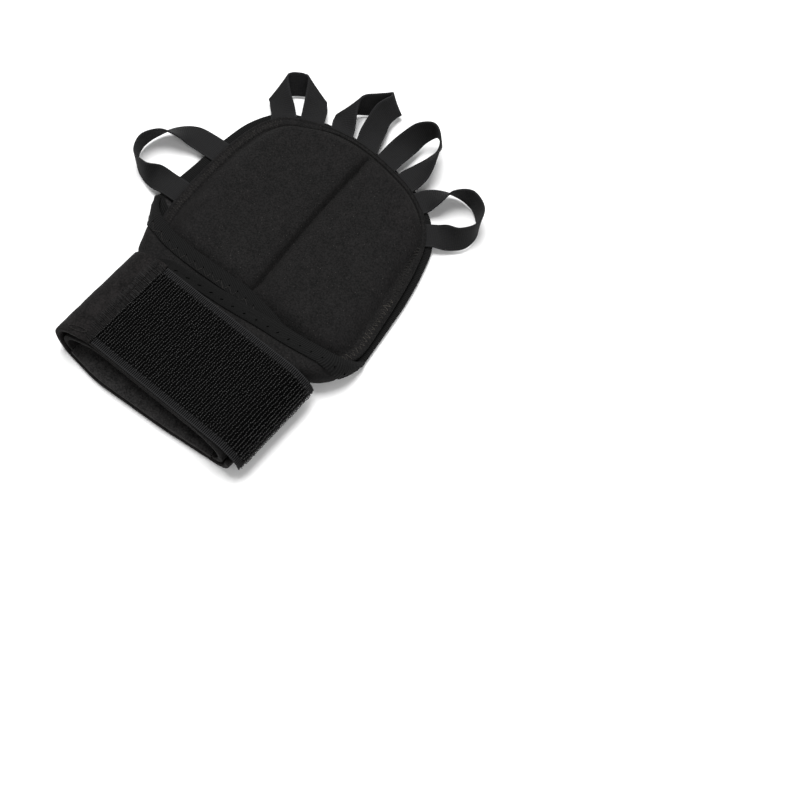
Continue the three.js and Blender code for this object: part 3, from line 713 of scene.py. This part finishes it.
def copies(name, model, places):
    """One piece with a copy of a modelled shape at each place, a matrix in the glove's plan"""
    corners = [vertex.co.copy() for vertex in model.data.vertices]
    sides = [tuple(face.vertices) for face in model.data.polygons]
    points, faces = [], []
    for place in places:
        first = len(points)
        points.extend(in_row(place @ corner) for corner in corners)
        faces.extend(tuple(first + corner for corner in side) for side in sides)
    piece = mesh_piece(name, points, faces)
    piece.data.shade_smooth()
    return piece


def between(start, end, thick):
    """The place of a stitch that runs from one point to another"""
    run = end - start
    turned = run.to_track_quat("Z", "Y").to_matrix()
    sized = turned @ Matrix.Diagonal((thick, thick, run.length))
    return Matrix.Translation((start + end) / 2) @ sized.to_4x4()


def sewing_thread(name, colour, shade, lustre):
    """Spun polyester thread: matt, with a little lustre where it lies over the cloth"""
    material, tree = node_material(name)
    worn = ranged(tree, grain(tree, 1.3, 3, 0.7), 0.35, 0.65)
    tint = blended(tree, worn, linear(shade), linear(colour))
    return finished_material(material, tint, None, {"Roughness": 0.7, "Specular IOR Level": lustre})


chance = random.Random(7)


def stray(reach):
    """A chance offset to either side, no further than reach"""
    return chance.uniform(-reach, reach)


stitch = modelled_stitch()
pale_thread = sewing_thread("dusty_polyester_thread", "#45413c", "#211f1d", 0.3)
grey_thread = sewing_thread("worn_polyester_thread", "#292725", "#151413", 0.2)
black_thread = sewing_thread("black_polyester_thread", "#201f1f", "#070707", 0.2)
# Black thread darkened to near black with no lustre: painted shade in the needle holes
hole_thread_painted_shade = sewing_thread("sunken_black_thread_painted_hole_shade", "#030303", "#020202", 0)
OVERLOCK = {"insets": (1.7, 3.5, 5.3), "stray": 0.25, "lift": 0.1, "thread": 0.26}
Seam = namedtuple("Seam", "name thread first last pitch")
for run in (
    Seam("pad_overlock_thumb_side", grey_thread, 0.045, 0.283, 0.75),
    Seam("pad_overlock_fingers", grey_thread, 0.717, 0.835, 0.9),
    Seam("pad_overlock_little_side", pale_thread, 0.835, 0.972, 1.2),
):
    side = smooth_path([pad_edge(run.first + (run.last - run.first) * i / 24) for i in range(25)])
    turns = [run.first + (run.last - run.first) * t for t in even_stations(side, run.pitch)]
    places = []
    for i, (here, there) in enumerate(zip(turns, turns[1:])):
        insets = OVERLOCK["insets"] if i % 2 else tuple(reversed(OVERLOCK["insets"]))
        stops = []
        for t, inset in zip((here, (here + there) / 2, there), insets):
            inset += stray(OVERLOCK["stray"])
            point = pad_edge(t, inset)
            point.z = read(FLANGE_RELIEF, "inset", inset, "level") + OVERLOCK["lift"]
            stops.append(point)
        thick = OVERLOCK["thread"] * chance.uniform(0.5, 1.3)
        places += [between(stops[0], stops[1], thick), between(stops[1], stops[2], thick)]
    finish_cloth(copies(run.name, stitch, places), run.thread)

# Wings: two neoprene sheets that fold up from the panel's sides, cross over the pad's lower edge with
# the little-finger side on top, and close the wrist. Cut straight at the wrist's open end.
BESIDE_TAPE = 2.5


def wing_cloth(name, wing, node):
    surface = wing_surface(wing)

    def ends(along):
        edge = read_soft(wing.edge, "along", along, "y", 0.6)
        return edge, read_soft(wing.near, "along", along, "y", 4)

    def middle(along, back):
        y, near = ends(along)
        return surface(along, y - (y - near) * back)

    def kept(along, back):
        y, near = ends(along)
        pressed = 1 - ease(((y - near) * back - TAPE_WIDTH) / BESIDE_TAPE)
        return 1 + (NEOPRENE_STITCHED / NEOPRENE - 1) * pressed

    back = spread(0, (0.2, 14), (0.36, 12), (1, 16))
    along = spread(0.06, (24, 24), (wing.edge[-1].along, 26))
    piece = cloth(name, along, back, middle, NEOPRENE, kept)
    finish_cloth(piece, neoprene, [node])
    return piece


thumb_wing = wing_cloth("thumb_wing_cloth", THUMB_WING, "thumb_side_wing")
little_wing = wing_cloth("little_wing_cloth", LITTLE_WING, "little_side_wing")

# Wing bindings: the same folded tape on each wing's upper edge. It comes round the corner from the
# panel's rim and is sewn down with a wide zigzag, whose needle holes show as dark dots: black thread
# sunk into the tape, darkened further as painted shade in the holes.
def on_wing(wing, path, t, back, height, beyond=0.0):
    """A point of a wing's tape: back from the edge at t, and a height outside the sheet's middle"""
    surface = wing_surface(wing)
    reach = 0.05
    edge, run = path(t), direction(path, t)
    inward = Vector((run.y, -run.x, 0))
    a, y, _ = edge + inward * back
    along_run = surface(a + reach, y) - surface(a - reach, y)
    up_run = surface(a, y + reach) - surface(a, y - reach)
    out = along_run.cross(up_run).normalized() * -wing.side
    inner = edge + inward * 0.5
    past = (surface(edge.x, edge.y) - surface(inner.x, inner.y)).normalized()
    return surface(a, y) + out * height + past * beyond


OUTSIDE = NEOPRENE_STITCHED / 2 + GAP + TAPE
ZIGZAG = {
    "pitch": 5.4, "top": 4.1, "foot": 7.1, "stray": 0.2, "thread": 0.3, "lift": 0.05,
    "hole": 0.55, "hole_ends": (-0.5, 0.4), "hole_depth": 0.06,
}
for name, wing, node, carrier in (
    ("thumb_wing_tape", THUMB_WING, "thumb_wing_binding", thumb_wing),
    ("little_wing_tape", LITTLE_WING, "little_wing_binding", little_wing),
):
    path = smooth_path([(row.along, row.y, 0) for row in wing.edge])

    def tape_middle(part, t, wing=wing, path=path):
        fold = tape_fold(part, TAPE_WIDTH - 1)
        return on_wing(wing, path, t, fold.back, fold.height, fold.beyond)

    lines = [*even_stations(path, 1.3), 1]
    tape = cloth(name, tape_across, lines, tape_middle, TAPE)
    finish_cloth(tape, binding, [node])
    seam, holes = [], []
    turns = even_stations(path, ZIGZAG["pitch"] / 2)[5:]
    for i, (here, there) in enumerate(zip(turns, turns[1:])):
        backs = (ZIGZAG["top"], ZIGZAG["foot"]) if i % 2 else (ZIGZAG["foot"], ZIGZAG["top"])
        start, end = [
            on_wing(wing, path, t, back + stray(ZIGZAG["stray"]), OUTSIDE + ZIGZAG["lift"])
            for t, back in zip((here, there), backs)
        ]
        if wing is THUMB_WING:
            seam.append(between(start, end, ZIGZAG["thread"] * chance.uniform(0.4, 1.2)))
        if i % 2:
            ends = [
                on_wing(wing, path, here, ZIGZAG["top"] + off, OUTSIDE - ZIGZAG["hole_depth"])
                for off in ZIGZAG["hole_ends"]
            ]
            holes.append(between(*ends, ZIGZAG["hole"]))
    sewn = []
    if seam:
        sewn.append(copies(name + "_zigzag", stitch, seam))
        finish_cloth(sewn[-1], grey_thread)
    sewn.append(copies(name + "_needle_holes", stitch, holes))
    finish_cloth(sewn[-1], hole_thread_painted_shade)
    path_length(path)

# Wrist strap: a neoprene strap that starts under the wrist, turns round the thumb side in a soft fold
# and ends on top, where the hook tape is joined on. Its knit is brushed, so it looks fuzzier.
STRAP = {
    "right": 56, "turn_up": 95, "fold": -51, "join": -31, "width": 53, "pressed": 8, "least": 0.5,
    "fuzz": 0.25, "fuzz_size": 5,
}
STRAP_NEAR = [
    Bound(0, -77.3), Bound(14, -78.2), Bound(43, -81.4), Bound(83, -84), Bound(101, -82),
    Bound(114, -80.2), Bound(120, -79.6), Bound(128, -78), Bound(137, -75.8),
]
strap_low = NEOPRENE / 2
strap_high = STRAP_UNDERSIDE + NEOPRENE / 2
strap_radius = (strap_high - strap_low) / 2
strap_bend = STRAP["fold"] + NEOPRENE / 2 + strap_radius
strap_start = STRAP["right"] - NEOPRENE / 2 - strap_radius
strap_rising = math.radians(STRAP["turn_up"]) * strap_radius
strap_under = strap_rising + strap_start - strap_bend
strap_arc = math.pi * strap_radius
strap_total = strap_under + strap_arc + STRAP["join"] - strap_bend


def strap_share(along, part):
    """The part of its thickness that the strap keeps, where the join seam presses its end flat"""
    return 1 - (1 - STRAP["least"]) * ease((along - strap_total + STRAP["pressed"]) / STRAP["pressed"])


def strap_middle(along, part):
    y = read_soft(STRAP_NEAR, "along", along, "y", 5) + part * STRAP["width"]
    fuzz = STRAP["fuzz"] * noise.noise(Vector((along, y, 3)) / STRAP["fuzz_size"])
    if strap_rising <= along <= strap_under:
        return Vector((strap_start + strap_rising - along, y, strap_low))
    if along > strap_under + strap_arc:
        level = STRAP_UNDERSIDE + strap_share(along, part) * NEOPRENE / 2
        return Vector((strap_bend + along - strap_under - strap_arc, y, level + fuzz))
    right = along < strap_rising
    bend = (strap_rising - along if right else along - strap_under) / strap_radius
    out = strap_radius * math.sin(bend)
    x = strap_start + out if right else strap_bend - out
    return Vector((x - fuzz * math.sin(bend), y, strap_low + strap_radius * (1 - math.cos(bend))))


strap_lines = spread(
    0, (strap_rising, 14), (strap_under, 26), (strap_under + strap_arc, 28), (strap_total, 12),
)
wrist_strap = cloth("strap_cloth", strap_lines, steps(0, 1, 40), strap_middle, NEOPRENE, strap_share)
finish_cloth(wrist_strap, fuzzy, ["wrist_strap"])

# Join seam: the strap's end is sewn to the hook tape with a dense satin stitch, rows of thread lying
# side by side along the strap, here and there slack or crossed
SATIN = {
    "left": -38.6, "right": -30.2, "first": 1.2, "last": 50, "pitch": 0.5, "thread": 0.3, "rise": 0.3,
    "worn": 30, "worn_off": 2.5, "worn_thin": 0.6, "stray": {"left": 0.7, "right": 0.5, "along": 0.3},
}
satin_head = STRAP_UNDERSIDE + NEOPRENE - 0.1
satin_foot = STRAP_UNDERSIDE + NEOPRENE * STRAP["least"] + 0.05
off = SATIN["stray"]
satin_places = []
satin_y = HOOK_TAPE_NEAR + SATIN["first"]
while satin_y < HOOK_TAPE_NEAR + SATIN["last"]:
    far = clamp((satin_y - HOOK_TAPE_NEAR) / SATIN["worn"])
    left = SATIN["left"] + SATIN["worn_off"] * (1 - far) + stray(off["left"])
    start = Vector((left, satin_y + stray(off["along"]), satin_head))
    end = Vector((SATIN["right"] + stray(off["right"]), satin_y + stray(off["along"]), satin_foot))
    middle = start.lerp(end, 0.5) + Vector((0, 0, SATIN["rise"]))
    thin = SATIN["worn_thin"] * (1 - far) + far
    thick = SATIN["thread"] * thin * chance.uniform(0.6, 1.4)
    satin_places += [between(start, middle, thick), between(middle, end, thick)]
    satin_y += SATIN["pitch"] * chance.uniform(0.7, 1.3)
satin = copies("join_seam", stitch, satin_places)
finish_cloth(satin, black_thread)
# A slack loop of thread lies on the seam's near end
SLACK = {"x": -39.3, "y": -74.1, "above": 0.4, "length": 9.2, "width": 2.2, "slant": 20, "thread": 0.26}
slack_seat = Vector((SLACK["x"], SLACK["y"], STRAP_UNDERSIDE + NEOPRENE + SLACK["above"]))
slack_turn = Matrix.Rotation(math.radians(SLACK["slant"]), 3, "Z")
slack_points = []
for angle in steps(0, math.tau, 18):
    oval = Vector((SLACK["length"] * math.cos(angle), SLACK["width"] * math.sin(angle), 0)) / 2
    slack_points.append(slack_seat + slack_turn @ oval)
slack_places = [between(a, b, SLACK["thread"]) for a, b in zip(slack_points, slack_points[1:])]
slack = copies("slack_thread_loop", stitch, slack_places)
finish_cloth(slack, grey_thread)
bpy.data.objects.remove(stitch)

# Hook tape: two-inch nylon hook tape, joined to the strap's end and lying over the wrist. Rows of
# small hooks stand on a woven ground between two plain ribbed selvages.
HOOK_PATH = [
    (-31 + GAP, 0), (-10, 0), (18, 0), (40, 0), (49, -0.4), (55, -3.2), (58.4, -7), (59.4, -10.6),
]
HOOKS = {
    "tape_width": 51, "ground": 0.8, "row_pitch": 1.45, "pitch": 1.0, "stem": 0.85, "arch": 0.34,
    "wire": 0.2, "selvage": 3.4, "row_offset": 0.25, "stray": 0.12, "turned": 0.3, "tilted": 0.15,
    "sizes": (0.88, 1.1),
}
RAW_END = {
    "hooks": 70, "first": 0.5, "pitch": 0.72, "back": 0.5, "aside": 0.6, "up": 0.8, "sizes": (0.5, 1),
}
# Where the selvage's ribs and its bright lip begin and are full, from the tape's middle line
SELVAGE = {"ribs": (21.5, 22.3), "lip": (24.7, 25)}
hook_level = STRAP_UNDERSIDE + HOOKS["ground"] / 2
hook_path = smooth_path([(x, 0, hook_level + z) for x, z in HOOK_PATH])


def hook_ground_middle(t, part):
    point = hook_path(t)
    return Vector((point.x, HOOK_TAPE_NEAR + part * HOOKS["tape_width"], point.z))


def off_middle(tree, axis, width):
    """How far a point of a sheet lies from the sheet's middle line, in millimetres"""
    cut = add_node(tree, "ShaderNodeUVMap", uv_map="cut")
    split = add_node(tree, "ShaderNodeSeparateXYZ", {"Vector": cut.outputs["UV"]})
    return calculated(tree, "ABSOLUTE", calculated(tree, "SUBTRACT", split.outputs[axis], width / 2))


def hook_nylon():
    """Nylon monofilament: black, smooth and shiny, so each hook glints, with dark gaps between"""
    material, tree = node_material("black_nylon_hooks")
    colour = blended(tree, grain(tree, 2.4, 2), linear("#101010"), linear("#303030"))
    return finished_material(material, colour, None, {"Roughness": 0.32, "Specular IOR Level": 0.34})


def woven_ground():
    """Nylon tape woven tightly between two plain selvages: black, painted near black under the hooks as
    painted shade between them, with raised ribs across each selvage, their crests painted lighter, and a
    brighter line along its edge"""
    material, tree = node_material("woven_nylon_ground")
    distance = off_middle(tree, "Y", HOOKS["tape_width"])
    selvage = ranged(tree, distance, *SELVAGE["ribs"], 0.03, 1)
    lip = ranged(tree, distance, *SELVAGE["lip"], 0, 0.35)
    sharp_ribs = calculated(tree, "POWER", ribs(tree, 0.95, "X", 0.5, 3), 2)
    selvage_relief_and_painted_light = calculated(tree, "MULTIPLY", calculated(tree, "ADD", sharp_ribs, lip), selvage)
    # Painted shade and highlight: near black between the hooks, lighter on the selvage's rib crests and
    # along its edge
    colour = blended(tree, selvage_relief_and_painted_light, linear("#010101"), linear("#2f2f30"))
    return finished_material(material, colour, bumped(tree, selvage_relief_and_painted_light, 0.6, 0.0004), {
        "Roughness": 0.7, "Specular IOR Level": 0.03,
    })


nylon = hook_nylon()
hook_ground = cloth(
    "hook_tape_ground", steps(0, 1, 60), steps(0, 1, 12), hook_ground_middle, HOOKS["ground"],
)
finish_cloth(hook_ground, woven_ground(), ["hook_tape"])


def modelled_hook(wire, stem, arch):
    """A hook on the tape: a stem of monofilament that bends over to one side and comes down"""
    bpy.ops.mesh.primitive_circle_add(vertices=4, radius=wire, fill_type="NGON")
    hook = bpy.context.object
    bpy.ops.object.mode_set(mode="EDIT")
    bpy.ops.mesh.select_all(action="SELECT")
    bpy.ops.mesh.extrude_region_move(TRANSFORM_OT_translate={"value": (0, 0, stem)})
    bpy.ops.mesh.spin(steps=4, angle=math.radians(-200), center=(arch, 0, stem), axis=(0, 1, 0))
    bpy.ops.mesh.select_all(action="SELECT")
    bpy.ops.mesh.remove_doubles(threshold=0.001)
    bpy.ops.mesh.normals_make_consistent(inside=False)
    bpy.ops.object.mode_set(mode="OBJECT")
    return hook


def standing(foot, aside, up, size):
    """The place of a hook that stands up from its foot, with its arch turned aside"""
    turned = Matrix((aside, up.cross(aside).normalized(), up)).transposed()
    return Matrix.Translation(foot) @ (turned @ Matrix.Diagonal((size, size, size))).to_4x4()


hook = modelled_hook(HOOKS["wire"], HOOKS["stem"], HOOKS["arch"])
hook_count = int((HOOKS["tape_width"] - 2 * HOOKS["selvage"]) / HOOKS["pitch"])
places = []
for number, t in enumerate(even_stations(hook_path, HOOKS["row_pitch"])):
    run = direction(hook_path, t)
    out = Vector((-run.z, 0, run.x))
    ground = hook_path(t) + out * HOOKS["ground"] / 2
    lean = 1 if number % 2 else -1
    for i in range(hook_count):
        y = HOOK_TAPE_NEAR + HOOKS["selvage"] + (i + 0.5 + HOOKS["row_offset"] * lean) * HOOKS["pitch"]
        y += stray(HOOKS["stray"])
        foot = Vector((ground.x, y, ground.z)) + run * stray(HOOKS["stray"])
        aside = (Vector((0, lean, 0)) + run * stray(HOOKS["turned"])).normalized()
        up = (out + run * stray(HOOKS["tilted"])).normalized()
        places.append(standing(foot, aside, up, chance.uniform(*HOOKS["sizes"])))
# Loose hooks and ends of filament stick out where the tape is cut
raw_end, run = hook_path(1), direction(hook_path, 1)
for i in range(RAW_END["hooks"]):
    y = HOOK_TAPE_NEAR + RAW_END["first"] + RAW_END["pitch"] * i
    foot = raw_end + Vector((0, y, 0)) - run * chance.uniform(0, RAW_END["back"])
    up = (run + Vector((0, stray(RAW_END["aside"]), chance.uniform(0, RAW_END["up"])))).normalized()
    aside = up.cross(Vector((stray(1), stray(1), 1))).normalized()
    places.append(standing(foot, aside, up, chance.uniform(*RAW_END["sizes"])))
hooks = copies("hook_rows", hook, places)
bpy.data.objects.remove(hook)
finish_cloth(hooks, nylon)

# Ribbon loops: half-inch woven elastic, sewn at both ends under the pad's rim, one for each finger
# and one for the thumb. The ribbon is stiff on edge, so it stands, leans and folds as it leaves the rim.
Loop = namedtuple("Loop", "x y z heading rise reach", defaults=(12.5,))
RIBBON = {"width": 12.5, "thickness": 1.0, "edge_cord_and_painted_highlight": (5.3, 5.9)}
UNDER_FLANGE = 4.0
LOOPS = {
    "thumb": [
        (-57.5, 44.5, UNDER_FLANGE, -90, 0), (-68.5, 44, 4.2, -87, 0), (-77.5, 42.5, 5.2, -72, 5),
        (-85, 38.8, 6.8, -48, 35), (-92, 32.5, 7.2, -26, 68), (-95, 22.5, 7.4, 12, 85),
        (-90.5, 14, 7.4, 30, 89), (-82.5, 11.4, 7.2, 65, 74), (-76, 13.2, 5.8, 97, 29),
        (-69.5, 14.6, 4.3, 97, 0), (-57.5, 15.4, UNDER_FLANGE, 94, 0),
    ],
    "index": [
        (-49.5, 76, UNDER_FLANGE, 39, 0), (-53.4, 81.2, 4.2, 39, 2), (-56.6, 83.9, 5, 42, 14),
        (-60.4, 86.8, 6.1, 50, 29), (-64.4, 90.6, 7.2, 80, 35, 14.9),
        (-62.9, 94.6, 6.6, 95, 46, 13.4), (-58.8, 98.7, 6.2, 129, 58),
        (-54, 101.2, 6.6, 162, 48, 13.4), (-49.1, 101.8, 7.2, 173, 35, 14.9),
        (-45.4, 97.2, 6.2, -158, 31), (-42.4, 92.6, 4.9, -146, 13), (-40, 88, 4.1, -140, 0),
        (-37.7, 84.5, UNDER_FLANGE, -139, 0),
    ],
    "middle": [
        (-22.6, 88.1, UNDER_FLANGE, -8, 0), (-25, 94.1, 4.3, 12, 2), (-27.6, 99, 6.1, 31, 24),
        (-29.2, 103.9, 8, 58, 31, 14), (-26.8, 108.6, 7, 73, 51, 13.2), (-21.1, 114, 6.5, 99, 61),
        (-16.4, 117.9, 6.9, 129, 65), (-13, 120.7, 7.4, 158, 63), (-11.8, 119.7, 7.9, 178, 60),
        (-12.4, 116.6, 8.4, 180, 58), (-13.2, 111.3, 8.1, 178, 48), (-12.1, 105, 6.8, -175, 32),
        (-11, 99.5, 5.3, -170, 13), (-9.4, 94.5, 4.2, -172, 1), (-8.3, 88, UNDER_FLANGE, 173, 0),
    ],
    "ring": [
        (5, 87, UNDER_FLANGE, 2, 0), (4.8, 94, 4.2, 0, 0), (5.6, 101, 5.6, -3, -11),
        (7, 107.5, 7.2, -3, -37), (9.3, 114.6, 9.6, -5, -59), (14.6, 119, 11.6, 40, -82),
        (20.8, 115, 11, 114, -79), (22.3, 107, 8.8, 158, -53), (21.9, 98.8, 6, 163, -19),
        (20, 92, 4.4, 163, 0), (18.2, 86, UNDER_FLANGE, 163, 0),
    ],
    "little": [
        (30, 81.7, UNDER_FLANGE, -36, 0), (33.2, 87, 4.2, -36, 0), (37.6, 93, 6.2, -45, 29),
        (43, 99, 7.2, -67, 70), (51.2, 101.8, 7.2, 87, 80), (59.4, 98, 7.2, 47, 74),
        (63.8, 89.8, 7.2, 100, 88), (61.2, 81.8, 7, 154, 64), (54.8, 78, 5.6, 125, 32),
        (49.4, 75.6, 4.4, 120, 0), (43.8, 71.6, UNDER_FLANGE, 126, 0),
    ],
}


def ruling(row):
    """The line across the ribbon, from its outer edge to its inner one, as long as it is there"""
    heading, rise = math.radians(row.heading), math.radians(row.rise)
    flat = math.cos(rise)
    return Vector((flat * math.cos(heading), flat * math.sin(heading), math.sin(rise))) * row.reach


def woven_elastic():
    """Woven elastic: matt polyester picks across rubber cores, with a slightly raised edge cord on each
    side. The bands along both edges are painted lighter as a painted highlight, and the weave's hollows
    darker as painted shade"""
    material, tree = node_material("woven_elastic_ribbon")
    weave = calculated(tree, "MULTIPLY", ribs(tree, 0.9, "Y", 0.5, 4), ribs(tree, 0.8, "X", 0.4, 4))
    height = calculated(tree, "ADD", weave, grain(tree, 0.8, 3, 0.7))
    cord_bump_and_painted_highlight = ranged(tree, off_middle(tree, "X", RIBBON["width"]), *RIBBON["edge_cord_and_painted_highlight"], 0, 0.5)
    # Painted light: lighter on the weave's crests, darker in its hollows, and lighter along both edges
    # as a painted edge highlight
    weave_and_edge_painted_light = calculated(tree, "ADD", ranged(tree, height, 0.2, 1.4, 0, 0.75), cord_bump_and_painted_highlight)
    colour = blended(tree, weave_and_edge_painted_light, linear("#0c0c0c"), linear("#1e1e1f"))
    normal = bumped(tree, calculated(tree, "ADD", height, cord_bump_and_painted_highlight), 0.45)
    return finished_material(material, colour, normal, {
        "Roughness": 0.8, "Specular IOR Level": 0.15, "Sheen Weight": 0.03,
        "Sheen Tint": linear("#b4b4b8"),
    })


elastic = woven_elastic()
for name, table in LOOPS.items():
    rows = [Loop(*row) for row in table]
    ribbon_middle = smooth_path([(row.x, row.y, row.z) for row in rows])
    ribbon_line = smooth_path([ruling(row) for row in rows])

    def ribbon_point(share, t, middle=ribbon_middle, line=ribbon_line):
        return middle(t) + line(t) * share

    across, along = steps(-0.5, 0.5, 6), steps(0, 1, 110)
    ribbon = cloth(name + "_ribbon", across, along, ribbon_point, RIBBON["thickness"])
    finish_cloth(ribbon, elastic, [name + "_loop"])
    path_length(ribbon_middle)
